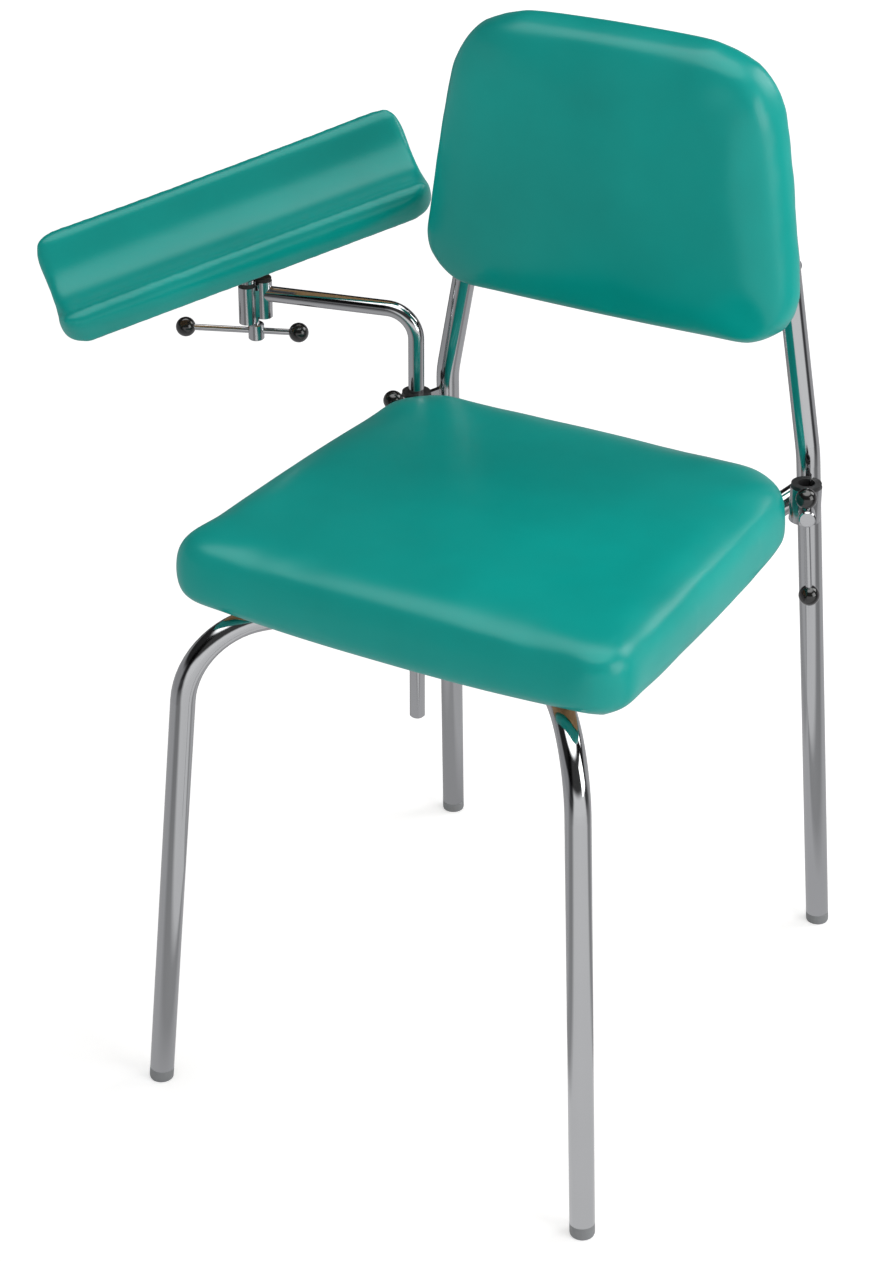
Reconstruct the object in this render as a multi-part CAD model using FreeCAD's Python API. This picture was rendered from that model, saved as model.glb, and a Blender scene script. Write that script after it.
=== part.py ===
import FreeCAD, Part
import math
import os

# Phlebotomy chair, millimetres. +Z is up, the chair faces -Y and stands on z = 0.
# Left and right are those of a person who looks at the front of the chair.

# Tube frame
tube_od = 20.0
tube_wall = 1.5
front_foot_x = 197.0
front_foot_y = -213.5
front_corner_x = 170.2
front_corner_y = -188.8
front_bend_radius = 66.0
rail_z = 418.0
rail_rise_run = 48.9
rail_rise_radius = 45.0
rail_rise_height = 32.0
rear_foot_x = 189.0
rear_foot_y = 269.0
rear_bend_x = 171.0
rear_bend_y = 224.0
rear_bend_height = 63.0
rear_bend_radius = 100.0
upright_run = 273.0
upright_inward_deg = 9.8
back_lean_deg = 0.6
weld_overrun = 1.0

# Tube plugs
plug_height = 10.0
plug_edge_radius = 5.0
plug_sink = 3.0
plug_spigot_length = 20.0
plug_spigot_gap = 0.1
top_plug_height = 3.0
top_plug_edge_radius = 1.5

# Centre plate and seat lugs
lug_thickness = 3.0
lug_saddle_depth = 1.0
lug_width = 24.0
lug_inner_reach = 13.0
lug_outer_reach = 33.0
lug_screw_offset = 23.0
lug_front_y = -95.0
lug_rear_y = 120.0
centre_plate_side = 84.0
plate_corner_radius = 5.0

# Seat
seat_front_half_width = 203.0
seat_rear_half_width = 190.0
seat_front_y = -188.0
seat_rear_y = 187.0
seat_front_corner_radius = 38.0
seat_rear_corner_radius = 57.0
seat_thickness = 60.0
seat_crown = 2.0
seat_side_bow = 3.0
side_bow_share = 0.42
seat_top_edge_radius = 20.0
seat_bottom_edge_radius = 18.0
seat_board_inset = 26.0
seat_board_thickness = 12.0

# Back
back_start_height = 101.0
back_height = 248.0
back_bottom_half_width = 178.0
back_top_half_width = 139.0
back_bottom_corner_radius = 48.0
back_top_corner_radius = 70.0
back_thickness = 52.0
back_crown = 5.0
back_side_bow = 1.5
back_front_edge_radius = 20.0
back_rear_edge_radius = 14.0
back_board_inset = 15.0
back_board_thickness = 10.0
back_spacer_length = 6.0
back_spacer_radius = 10.0
back_fixing_heights = (56.0, 148.0)
cushion_reference_half = 190.0

# Screws that hold the boards
seat_screw_radius = 2.5
seat_screw_head_radius = 5.0
seat_screw_head_height = 3.2
seat_screw_depth = 9.0
back_screw_radius = 3.0
back_screw_head_radius = 6.0
back_screw_head_height = 3.6
back_screw_depth = 8.0
screw_clearance = 0.2
socket_recess_radius = 1.6
socket_recess_depth = 1.6

# Upright sockets for the arm post
socket_x = 184.0
socket_y = 191.5
socket_start_height = 20.0
socket_height = 30.0
socket_wall = 3.0
liner_wall = 3.0
web_thickness = 5.0
web_start_height = 12.5
web_height = 15.5
bush_clearance = 0.05
bush_flange_inset = 0.5
bush_flange_height = 3.0
bush_split_width = 1.5
boss_radius = 7.0
boss_reach = 4.5

# Tee screws and sliding bars
tee_side_share = 0.44
tee_front_share = 0.90
tee_tip_gap = 0.1
tee_shaft_radius = 4.0
tee_head_gap = 5.0
tee_head_length = 14.0
tee_head_radius = 7.0
tee_head_edge = 1.0
bar_radius = 2.75
bar_clearance = 0.06
knob_radius = 8.75
knob_grip = 5.0
leg_bar_span = 88.5
leg_bar_rest = 15.85
leg_bar_lean_deg = 4.5
leg_screw_height = 15.0

# Arm post
post_radius = 7.0
post_length = 403.0
post_bend_radius = 26.0
arm_height = 78.0
arm_side_share = 0.977
arm_front_share = 0.212
arm_reach = 140.2
post_chamfer = 1.2

# Clamp under the trough, with its heights above the arm's centre line
barrel_cover = 0.6
barrel_gap = 0.4
barrel_side_share = 0.57
barrel_front_share = 0.822
post_barrel_low = -22.0
post_barrel_high = 12.0
stem_barrel_low = -25.0
stem_barrel_high = 9.0
clamp_web_width = 9.0
clamp_web_low = -20.0
clamp_web_high = 5.0
stem_bore_low = -15.0
stem_radius = 4.0
stem_clearance = 0.05
clamp_screw_radius = 3.0
clamp_cone_low = -8.0
clamp_cone_high = -3.0
clamp_screw_tip_radius = 0.6
screw_bore_high = -1.0
lock_pad_radius = 2.4
lock_pad_height = -5.4
lock_pad_gap = 0.03
washer_height = 4.0
washer_inset = 0.4
clamp_head_high = -27.0
clamp_head_length = 15.0
clamp_bar_height = -34.0
clamp_bar_span = 101.0
clamp_bar_short = 37.8
clamp_bar_side_share = 0.927
clamp_bar_rear_share = 0.375

# Tilt knuckle
pivot_height = 27.0
collar_height = 3.0
tongue_thickness = 8.0
tongue_radius = 7.0
knuckle_washer_thickness = 0.85
knuckle_washer_radius = 6.5
ear_gap = 0.05
ear_thickness = 3.0
ear_radius = 7.5
bolt_radius = 3.0
bolt_clearance = 0.05
bolt_head_radius = 5.5
bolt_head_height = 4.0
nut_radius = 5.8
nut_height = 5.0
nut_sides = 6
bracket_thickness = 3.0
bracket_length = 58.0
bracket_width = 31.0
bracket_screw_along = 22.5
bracket_screw_across = 9.0
tray_screw_radius = 2.0
tray_screw_head_radius = 3.8
tray_screw_head_height = 2.2
tray_screw_depth = 6.0

# Arm trough
tray_turn_deg = 43.6
tray_tilt_deg = 31.6
tray_shift_along = 2.1
tray_shift_across = -16.8
tray_lift = 18.9
tray_length = 342.0
tray_width = 110.0
tray_height = 37.0
tray_corner_radius = 22.0
tray_floor = 16.0
tray_rim = 14.0
tray_bottom_edge_radius = 10.0
tray_rim_edge_radius = 5.0
tray_board_thickness = 8.0
tray_board_length = 294.0
tray_board_width = 88.0
tray_board_corner_radius = 12.0

tube_radius = tube_od / 2
bore_radius = tube_radius - tube_wall
socket_bore_radius = post_radius + liner_wall
socket_radius = socket_bore_radius + socket_wall
bush_flange_radius = socket_radius - bush_flange_inset
boss_end = socket_radius + boss_reach
tee_tip = socket_bore_radius + tee_tip_gap
tee_head_start = socket_radius + tee_head_gap
barrel_radius = post_radius + barrel_cover
barrel_pitch = 2 * barrel_radius + barrel_gap
washer_radius = barrel_radius - washer_inset
rail_end_z = rail_z + rail_rise_height
rear_bend_z = rail_z + rear_bend_height
seat_bottom_z = rail_z + tube_radius + lug_thickness - lug_saddle_depth
back_bottom_z = rear_bend_z + back_start_height
socket_bottom_z = rail_z + socket_start_height
socket_top_z = socket_bottom_z + socket_height
web_bottom_z = socket_bottom_z + web_start_height
leg_bar_z = socket_bottom_z + leg_screw_height
arm_z = socket_top_z + arm_height
post_bottom_z = arm_z - post_length
up = FreeCAD.Vector(0, 0, 1)
origin = FreeCAD.Vector(0, 0, 0)


def vec(x, y, z):
    return FreeCAD.Vector(x, y, z)


def unit(v):
    return v * (1.0 / v.Length)


def mirrored(shape):
    return shape.mirror(origin, vec(1, 0, 0))


def placed(shape, placement):
    shape.Placement = placement.multiply(shape.Placement)
    return shape


def save(name, *shapes):
    solids = [s for shape in shapes for s in shape.Solids]
    shape = solids[0] if len(solids) == 1 else Part.makeCompound(solids)
    shape.exportStep("parts/" + name + ".step")


def largest(shape):
    """The main solid of a cut, without the slivers that a cope leaves."""
    return max(shape.Solids, key=lambda s: s.Volume)


def rounded_edges(points, radii, closed=False):
    """Straight edges through points, with a tangent arc at each inner corner."""
    count = len(points)
    corners = range(count) if closed else range(1, count - 1)
    starts, ends, arcs = {}, {}, {}
    for i in range(count):
        starts[i] = ends[i] = points[i]
    for i in corners:
        here = points[i]
        back = unit(points[i - 1] - here)
        ahead = unit(points[(i + 1) % count] - here)
        half = math.acos(max(-1.0, min(1.0, back.dot(ahead)))) / 2
        reach = radii[i] / math.tan(half)
        centre = here + unit(back + ahead) * (radii[i] / math.sin(half))
        starts[i] = here + back * reach
        ends[i] = here + ahead * reach
        middle = centre + unit(here - centre) * radii[i]
        arcs[i] = Part.Arc(starts[i], middle, ends[i]).toShape()
    edges = []
    for i in range(count):
        if i in arcs:
            edges.append(arcs[i])
        if closed or i < count - 1:
            edges.append(Part.makeLine(ends[i], starts[(i + 1) % count]))
    return edges


def rod(points, radii, radius):
    """A round bar of one radius that follows a bent line."""
    wire = Part.Wire(rounded_edges(points, radii))
    along = unit(points[1] - points[0])
    ring = Part.Wire([Part.makeCircle(radius, points[0], along)])
    return wire.makePipeShell([ring], True, False)


def tube(points, radii):
    """A frame tube; its bore runs past both ends so that they are open."""
    first = points[0] - unit(points[1] - points[0]) * weld_overrun
    last = points[-1] + unit(points[-1] - points[-2]) * weld_overrun
    inner = [first] + points[1:-1] + [last]
    return rod(points, radii, tube_radius).cut(rod(inner, radii, bore_radius))


def cylinder(start, along, radius, length):
    return Part.makeCylinder(radius, length, start, unit(along))


def between(start, end, radius):
    return cylinder(start, end - start, radius, (end - start).Length)


def through(start, end, radius, extra):
    """A cylinder that runs past both of its points."""
    along = unit(end - start)
    return between(start - along * extra, end + along * extra, radius)


def ring(start, along, outer, inner, length):
    return cylinder(start, along, outer, length).cut(cylinder(start, along, inner, length))


def block(centre, x_axis, z_axis, length, width, height):
    """A box that stands on its centre point, with its length along x_axis."""
    box = Part.makeBox(length, width, height, vec(-length / 2, -width / 2, 0))
    y_axis = z_axis.cross(x_axis)
    turn = FreeCAD.Rotation(x_axis, y_axis, z_axis, "ZXY")
    box.Placement = FreeCAD.Placement(centre, turn).multiply(box.Placement)
    return box


def outline(points, radii, height):
    edges = rounded_edges(points, radii, True)
    return Part.Face(Part.Wire(edges)).extrude(vec(0, 0, height))


def edges_at(shape, low, high):
    """Edges that lie wholly between two heights."""
    found = []
    for edge in shape.Edges:
        box = edge.BoundBox
        if box.ZMin >= low and box.ZMax <= high:
            found.append(edge)
    return found


def bowed(points, radii, bow):
    """The same outline with each side bent outwards a little, as a stuffed pad's is."""
    bow_points, bow_radii = [], []
    for i in range(len(points)):
        here, ahead = points[i], points[(i + 1) % len(points)]
        run = ahead - here
        half = run.Length / 2
        outward = unit(run.cross(up))
        bow_points += [here, here + run * (1 / 2) + outward * bow]
        bow_radii += [radii[i], side_bow_share * half * half / bow]
    return bow_points, bow_radii


def cushion(points, radii, height, crown, top_radius, bottom_radius):
    """A pad with a domed top, rounded all round, that stands on z = 0."""
    prism = outline(points, radii, height)
    reach = cushion_reference_half
    dome_radius = (reach * reach + crown * crown) / (2 * crown)
    dome = Part.makeSphere(dome_radius, vec(0, 0, height - dome_radius))
    dome.translate(vec(0, (points[0].y + points[len(points) // 2].y) / 2, 0))
    body = prism.common(dome)
    edge_low = height / 2
    body = body.makeFillet(bottom_radius, edges_at(body, -weld_overrun, weld_overrun))
    return body.makeFillet(top_radius, edges_at(body, edge_low, height + weld_overrun))


# Lines of the frame, for its left side
foot_front = vec(-front_foot_x, front_foot_y, 0)
corner_front = vec(-front_corner_x, front_corner_y, rail_z)
foot_rear = vec(-rear_foot_x, rear_foot_y, 0)
bend_rear = vec(-rear_bend_x, rear_bend_y, rear_bend_z)


def flip(v):
    return vec(-v.x, v.y, v.z)


rail_joint = foot_rear + (bend_rear - foot_rear) * (rail_end_z / rear_bend_z)
rail_rise_y = rail_joint.y - rail_rise_run
rise_share = (rail_rise_y - front_corner_y) / (rail_joint.y - front_corner_y)
rise_x = -front_corner_x + rise_share * (front_corner_x - rail_joint.x)
rail_rise = vec(-rise_x, rail_rise_y, rail_z)
cross_share = front_corner_x / (front_corner_x - rail_joint.x)
cross_point = vec(0, front_corner_y + cross_share * (rail_joint.y - front_corner_y), rail_z)
heading_right = unit(cross_point - corner_front)
heading_left = flip(heading_right)

inward = math.tan(math.radians(upright_inward_deg))
lean = math.tan(math.radians(back_lean_deg))
upright_top = bend_rear + vec(inward, lean, 1) * upright_run

leg_up_front = unit(corner_front - foot_front)
leg_up_rear = unit(bend_rear - foot_rear)
rear_leg_core = through(foot_rear, bend_rear, tube_radius, 0)

# Rear tubes
rear_start = foot_rear + leg_up_rear * plug_height
rear_tube = tube([rear_start, bend_rear, upright_top], [0, rear_bend_radius, 0])

# Front tubes, which cross under the seat
front_start = foot_front + leg_up_front * plug_height
rise_right = flip(rail_rise)
joint_right = flip(rail_joint)
past_joint = joint_right + unit(joint_right - rise_right) * weld_overrun
left_points = [front_start, corner_front, rise_right, past_joint]
left_radii = [0, front_bend_radius, rail_rise_radius, 0]
front_tube_left = tube(left_points, left_radii)
front_tube_left = largest(front_tube_left.cut(mirrored(rear_leg_core)))

through_rail = through(corner_front, cross_point, tube_radius, front_corner_x)
right_end = cross_point + heading_left * weld_overrun
right_points = [flip(front_start), flip(corner_front), right_end]
front_tube_right = tube(right_points, [0, front_bend_radius, 0])
front_tube_right = largest(front_tube_right.cut(through_rail))

half_start = cross_point - heading_left * weld_overrun
past_left = rail_joint + unit(rail_joint - rail_rise) * weld_overrun
half_rail = tube([half_start, rail_rise, past_left], [0, rail_rise_radius, 0])
half_rail = largest(half_rail.cut(through_rail))
half_rail = largest(half_rail.cut(rear_leg_core))

# Tube plugs
def foot_plug(foot, along):
    body = cylinder(foot - along * plug_sink, along, tube_radius, plug_height + plug_sink)
    low = edges_at(body, -tube_radius, plug_sink)
    body = body.makeFillet(plug_edge_radius, low)
    spigot_radius = bore_radius - plug_spigot_gap
    top = foot + along * plug_height
    body = body.fuse(cylinder(top, along, spigot_radius, plug_spigot_length))
    floor = block(foot - up * tube_od, vec(1, 0, 0), up, tube_od * 2, tube_od * 2, tube_od)
    return largest(body.cut(floor).removeSplitter())


front_plug = foot_plug(foot_front, leg_up_front)
rear_plug = foot_plug(foot_rear, leg_up_rear)
up_back = unit(upright_top - bend_rear)
top_plug = cylinder(upright_top, up_back, tube_radius, top_plug_height)
top_edge = [e for e in top_plug.Edges if e.BoundBox.ZMax > upright_top.z + top_plug_height
            and e.Closed and len(e.Vertexes) == 1]
top_plug = top_plug.makeChamfer(top_plug_edge_radius, top_edge)
top_spigot = cylinder(upright_top - up_back * plug_spigot_length, up_back,
                      bore_radius - plug_spigot_gap, plug_spigot_length)
top_plug = top_plug.fuse(top_spigot)


# Centre plate, seat lugs and seat screws
def rail_point(y, heading, corner):
    return corner + heading * ((y - corner.y) / heading.y)


lug_bottom_z = rail_z + tube_radius - lug_saddle_depth
rail_left_core = through(corner_front, rise_right, tube_radius, 0)
rail_right_core = mirrored(rail_left_core)


def seat_lug(y, heading, corner, core, outward):
    at = rail_point(y, heading, corner)
    side = up.cross(heading) * outward
    span = lug_inner_reach + lug_outer_reach
    shift = (lug_outer_reach - lug_inner_reach) / 2
    foot = vec(at.x, at.y, lug_bottom_z) + side * shift
    plate = block(foot, side, up, span, lug_width, seat_bottom_z - lug_bottom_z)
    upright_edges = [e for e in plate.Edges if e.BoundBox.ZLength > lug_thickness / 2]
    plate = plate.makeFillet(plate_corner_radius, upright_edges)
    hole = vec(at.x, at.y, lug_bottom_z) + side * lug_screw_offset
    plate = plate.cut(core)
    plate = plate.cut(cylinder(hole, up, seat_screw_radius + screw_clearance, lug_thickness * 2))
    head = cylinder(hole - up * seat_screw_head_height, up, seat_screw_head_radius,
                    seat_screw_head_height)
    drive = cylinder(hole - up * seat_screw_head_height, up, socket_recess_radius,
                     socket_recess_depth)
    length = seat_bottom_z - lug_bottom_z + seat_screw_depth
    return plate, head.cut(drive).fuse(cylinder(hole, up, seat_screw_radius, length))


lug_front, screw_front = seat_lug(lug_front_y, heading_right, corner_front, rail_left_core, 1)
lug_rear, screw_rear = seat_lug(lug_rear_y, heading_left, flip(corner_front),
                                rail_right_core, -1)
lugs = [lug_front, mirrored(lug_front), lug_rear, mirrored(lug_rear)]
seat_screws = [screw_front, mirrored(screw_front), screw_rear, mirrored(screw_rear)]

plate_foot = vec(0, cross_point.y, lug_bottom_z)
centre_plate = block(plate_foot, vec(1, 0, 0), up, centre_plate_side, centre_plate_side,
                     seat_bottom_z - lug_bottom_z)
centre_plate = centre_plate.makeFillet(
    plate_corner_radius,
    [e for e in centre_plate.Edges if e.BoundBox.ZLength > lug_thickness / 2])
centre_plate = centre_plate.cut(rail_left_core).cut(rail_right_core)


# Seat
def trapezoid(front_half, rear_half, front, rear, inset):
    return [vec(-front_half + inset, front + inset, 0), vec(front_half - inset, front + inset, 0),
            vec(rear_half - inset, rear - inset, 0), vec(-rear_half + inset, rear - inset, 0)]


seat_radii = [seat_front_corner_radius, seat_front_corner_radius,
              seat_rear_corner_radius, seat_rear_corner_radius]
seat_points = trapezoid(seat_front_half_width, seat_rear_half_width, seat_front_y, seat_rear_y, 0)
seat_pad = cushion(*bowed(seat_points, seat_radii, seat_side_bow), seat_thickness, seat_crown,
                   seat_top_edge_radius, seat_bottom_edge_radius)
seat_inner = trapezoid(seat_front_half_width, seat_rear_half_width, seat_front_y, seat_rear_y,
                       seat_board_inset)
seat_board = outline(seat_inner, [r - seat_board_inset / 2 for r in seat_radii],
                     seat_board_thickness)
seat_pad = seat_pad.cut(seat_board)
seat_pad.translate(vec(0, 0, seat_bottom_z))
seat_board.translate(vec(0, 0, seat_bottom_z))
for screw in seat_screws:
    seat_board = seat_board.cut(screw)

# Back, laid flat with its rear face on z = 0 and its top towards +Y, then stood up
back_radii = [back_bottom_corner_radius, back_bottom_corner_radius,
              back_top_corner_radius, back_top_corner_radius]
back_points = trapezoid(back_bottom_half_width, back_top_half_width, 0, back_height, 0)
back_pad = cushion(*bowed(back_points, back_radii, back_side_bow), back_thickness, back_crown,
                   back_front_edge_radius, back_rear_edge_radius)
back_inner = trapezoid(back_bottom_half_width, back_top_half_width, 0, back_height,
                       back_board_inset)
back_board = outline(back_inner, [r - back_board_inset / 2 for r in back_radii],
                     back_board_thickness)
back_pad = back_pad.cut(back_board)
tube_to_board = tube_radius + back_spacer_length
back_tilt = math.radians(back_lean_deg)
forward = vec(0, -math.cos(back_tilt), math.sin(back_tilt))
up_pad = vec(0, math.sin(back_tilt), math.cos(back_tilt))
rise = back_bottom_z - rear_bend_z
back_foot = vec(0, rear_bend_y + rise * lean, back_bottom_z) + forward * tube_to_board
stand = FreeCAD.Placement(back_foot, FreeCAD.Rotation(vec(1, 0, 0), up_pad, forward, "ZXY"))
back_pad = placed(back_pad, stand)
back_board = placed(back_board, stand)

upright_core = through(bend_rear, upright_top, tube_radius, 0)
spacers, back_screws, drills = [], [], []
for height in back_fixing_heights:
    share = (back_bottom_z + height - rear_bend_z) / upright_run
    axis_point = bend_rear + (upright_top - bend_rear) * share
    start = axis_point + forward * tube_to_board
    spacer = cylinder(axis_point, forward, back_spacer_radius, tube_to_board)
    hole = through(axis_point - forward * tube_od, start, back_screw_radius + screw_clearance,
                   0)
    spacers.append(largest(spacer.cut(upright_core).cut(hole)))
    head_reach = tube_radius + back_screw_head_height
    head = cylinder(axis_point - forward * head_reach, forward, back_screw_head_radius,
                    back_screw_head_height + tube_wall)
    drive = cylinder(axis_point - forward * head_reach, forward, socket_recess_radius * 2,
                     socket_recess_depth)
    head = largest(head.cut(upright_core).cut(drive))
    shaft_end = start + forward * back_screw_depth
    shaft = between(axis_point - forward * (head_reach - socket_recess_depth), shaft_end,
                    back_screw_radius)
    back_screws.append(head.fuse(shaft))
    drills.append(hole)
    back_board = back_board.cut(shaft).cut(mirrored(shaft))
for hole in drills:
    rear_tube = rear_tube.cut(hole)

# Upright sockets, liners and tee screws, for the left side
socket_axis = vec(-socket_x, socket_y, 0)
socket_foot = socket_axis + up * socket_bottom_z
tee_out = unit(vec(-tee_side_share, -tee_front_share, 0))
tee_base = socket_axis + up * leg_bar_z


def on_tee(distance):
    return tee_base + tee_out * distance


socket_core = cylinder(socket_foot, up, socket_radius, socket_height)
socket_bore = cylinder(socket_foot, up, socket_bore_radius, socket_height)
screw_hole = between(on_tee(0), on_tee(tee_head_start), tee_shaft_radius + bush_clearance)
boss = between(on_tee(0), on_tee(boss_end), boss_radius)
socket = socket_core.fuse(boss).cut(socket_bore).cut(screw_hole)
socket = largest(socket)

leg_at_web = foot_rear + leg_up_rear * (web_bottom_z / leg_up_rear.z)
web_run = vec(leg_at_web.x - socket_axis.x, leg_at_web.y - socket_axis.y, 0)
web_foot = socket_axis + web_run * (1 / 2) + up * web_bottom_z
web = block(web_foot, unit(web_run), up, web_run.Length, web_thickness,
            web_height)
rise_core = between(rail_rise, rail_joint, tube_radius)
web = largest(web.cut(socket_core).cut(rear_leg_core).cut(rise_core))

liner_radius = socket_bore_radius - bush_clearance
liner = cylinder(socket_foot, up, liner_radius, socket_height)
flange = cylinder(socket_axis + up * socket_top_z, up, bush_flange_radius, bush_flange_height)
liner = liner.fuse(flange)
liner = liner.cut(cylinder(socket_foot, up, post_radius + bush_clearance,
                           socket_height + bush_flange_height))
split_foot = socket_foot + vec(0, socket_radius / 2 + post_radius, 0)
split = block(split_foot, vec(1, 0, 0), up, bush_split_width, socket_radius,
              socket_height + bush_flange_height)
liner = liner.cut(split)

head_start, head_end = on_tee(tee_head_start), on_tee(tee_head_start + tee_head_length)
head_middle = on_tee(tee_head_start + tee_head_length / 2)
tee_head = between(head_start, head_end, tee_head_radius)
tee_head = tee_head.makeChamfer(tee_head_edge, [e for e in tee_head.Edges if e.Closed
                                                and len(e.Vertexes) == 1])
tee_shaft = between(on_tee(tee_tip), head_start, tee_shaft_radius)
leg_screw = tee_head.fuse(tee_shaft)
bar_lean = math.radians(leg_bar_lean_deg)
tee_side = vec(tee_out.y, -tee_out.x, 0)
bar_down = tee_side * math.sin(bar_lean) - up * math.cos(bar_lean)


def sliding_bar(middle, along, first, last, bar_hole_radius):
    """A bar with its two balls, and the drill that makes its cross hole."""
    ball_a = middle + along * first
    ball_b = middle + along * last
    bar = between(ball_a + along * (knob_radius - knob_grip),
                  ball_b - along * (knob_radius - knob_grip), bar_radius)
    balls = [Part.makeSphere(knob_radius, ball_a).cut(bar),
             Part.makeSphere(knob_radius, ball_b).cut(bar)]
    drill = through(ball_a, ball_b, bar_hole_radius, 0)
    return bar, balls, drill


bar_hole = bar_radius + bar_clearance
leg_bar, leg_knobs, leg_drill = sliding_bar(
    head_middle, bar_down, -leg_bar_rest, leg_bar_span - leg_bar_rest, bar_hole)
leg_screw = leg_screw.cut(leg_drill)

# Arm post
post_foot = socket_axis + up * post_bottom_z
arm_corner = socket_axis + up * arm_z
arm_out = unit(vec(-arm_side_share, -arm_front_share, 0))
arm_end = arm_corner + arm_out * arm_reach
arm_post = rod([post_foot, arm_corner, arm_end], [0, post_bend_radius, 0], post_radius)
arm_post = arm_post.makeChamfer(post_chamfer, edges_at(
    arm_post, post_bottom_z - post_chamfer, post_bottom_z + post_chamfer))

# Clamp
barrel_step = unit(vec(-barrel_side_share, -barrel_front_share, 0)) * barrel_pitch
post_barrel_axis = arm_end
stem_axis = post_barrel_axis + barrel_step
screw_axis = post_barrel_axis + barrel_step * (1 / 2)


def upright_cylinder(axis, low, high, radius):
    """A cylinder between two heights above the arm's centre line."""
    return cylinder(axis + up * low, up, radius, high - low)


post_barrel = upright_cylinder(post_barrel_axis, post_barrel_low, post_barrel_high,
                               barrel_radius)
stem_barrel = upright_cylinder(stem_axis, stem_barrel_low, stem_barrel_high,
                               barrel_radius)
clamp_web = block(screw_axis + up * clamp_web_low, unit(barrel_step), up, barrel_pitch,
                  clamp_web_width, clamp_web_high - clamp_web_low)
arm_post = largest(arm_post.cut(post_barrel))
stem_bore = upright_cylinder(stem_axis, stem_bore_low, stem_barrel_high,
                             stem_radius + stem_clearance)
screw_bore = upright_cylinder(screw_axis, stem_barrel_low, screw_bore_high,
                              clamp_screw_radius + stem_clearance)
pad_line_start = screw_axis + up * lock_pad_height
pad_line_end = stem_axis + up * lock_pad_height
pad_bore = between(pad_line_start, pad_line_end, lock_pad_radius + lock_pad_gap)
clamp_block = post_barrel.fuse([stem_barrel, clamp_web]).removeSplitter()
clamp_block = clamp_block.cut(stem_bore).cut(screw_bore).cut(pad_bore)
clamp_block = largest(clamp_block)

cone_height = clamp_cone_high - clamp_cone_low
cone = Part.makeCone(clamp_screw_radius, clamp_screw_tip_radius, cone_height,
                     screw_axis + up * clamp_cone_low, up)
cone_room = Part.makeCone(clamp_screw_radius + lock_pad_gap, clamp_screw_tip_radius + lock_pad_gap,
                          cone_height, screw_axis + up * clamp_cone_low, up)
lock_pad = between(pad_line_start, pad_line_end, lock_pad_radius)
lock_pad = lock_pad.cut(upright_cylinder(stem_axis, clamp_cone_low - cone_height,
                                         clamp_cone_high + cone_height,
                                         stem_radius + lock_pad_gap))
lock_pad = lock_pad.cut(cone_room)
lock_pad = lock_pad.cut(upright_cylinder(screw_axis, clamp_cone_low - cone_height,
                                         clamp_cone_low, clamp_screw_radius + lock_pad_gap))
lock_side = unit(barrel_step)
half_plane = block(pad_line_start - up * barrel_radius - lock_side * barrel_radius, lock_side, up,
                   barrel_radius * 2, barrel_radius * 2, barrel_radius * 2)
lock_pad = largest(lock_pad.cut(half_plane))

clamp_head = upright_cylinder(screw_axis, clamp_head_high - clamp_head_length,
                              clamp_head_high, tee_head_radius)
clamp_head = clamp_head.makeChamfer(tee_head_edge, [e for e in clamp_head.Edges if e.Closed
                                                    and len(e.Vertexes) == 1])
clamp_shaft = upright_cylinder(screw_axis, clamp_head_high, clamp_cone_low,
                               clamp_screw_radius)
clamp_screw = clamp_head.fuse([clamp_shaft, cone]).removeSplitter()
bar_along = unit(vec(clamp_bar_side_share, clamp_bar_rear_share, 0))
clamp_bar, clamp_knobs, clamp_drill = sliding_bar(
    screw_axis + up * clamp_bar_height, bar_along, clamp_bar_short - clamp_bar_span,
    clamp_bar_short, bar_hole)
clamp_screw = clamp_screw.cut(clamp_drill)

stem_washer = ring(stem_axis + up * stem_barrel_high, up, washer_radius,
                   stem_radius + stem_clearance, washer_height)
post_cap = upright_cylinder(post_barrel_axis, post_barrel_high,
                            post_barrel_high + washer_height, washer_radius)
cap_z = arm_z + post_barrel_high
post_cap = post_cap.makeChamfer(tee_head_edge, edges_at(
    post_cap, cap_z + washer_height / 2, cap_z + washer_height * 2))

# Stem, tongue and tilt knuckle
tilt_axis = unit(vec(arm_side_share, arm_front_share, 0))
pivot = stem_axis + up * pivot_height
collar_low = stem_barrel_high + washer_height
stem = upright_cylinder(stem_axis, stem_bore_low + stem_clearance, collar_low, stem_radius)
collar = upright_cylinder(stem_axis, collar_low, collar_low + collar_height, washer_radius)
half_tongue = tongue_thickness / 2
tongue_eye = cylinder(pivot - tilt_axis * half_tongue, tilt_axis, tongue_radius,
                      tongue_thickness)
tongue_neck = block(stem_axis + up * collar_low, tilt_axis, up, tongue_thickness,
                    tongue_radius * 2, pivot_height - collar_low)
bolt_bore = cylinder(pivot - tilt_axis * bracket_width, tilt_axis,
                     bolt_radius + bolt_clearance, bracket_width * 2)
tray_stem = stem.fuse([collar, tongue_neck, tongue_eye]).removeSplitter().cut(bolt_bore)

half_stack = half_tongue + knuckle_washer_thickness + ear_gap
washer_a = ring(pivot + tilt_axis * (half_tongue + ear_gap), tilt_axis,
                knuckle_washer_radius, bolt_radius + bolt_clearance, knuckle_washer_thickness)
washer_b = ring(pivot - tilt_axis * (half_tongue + ear_gap), tilt_axis * -1,
                knuckle_washer_radius, bolt_radius + bolt_clearance, knuckle_washer_thickness)

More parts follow.
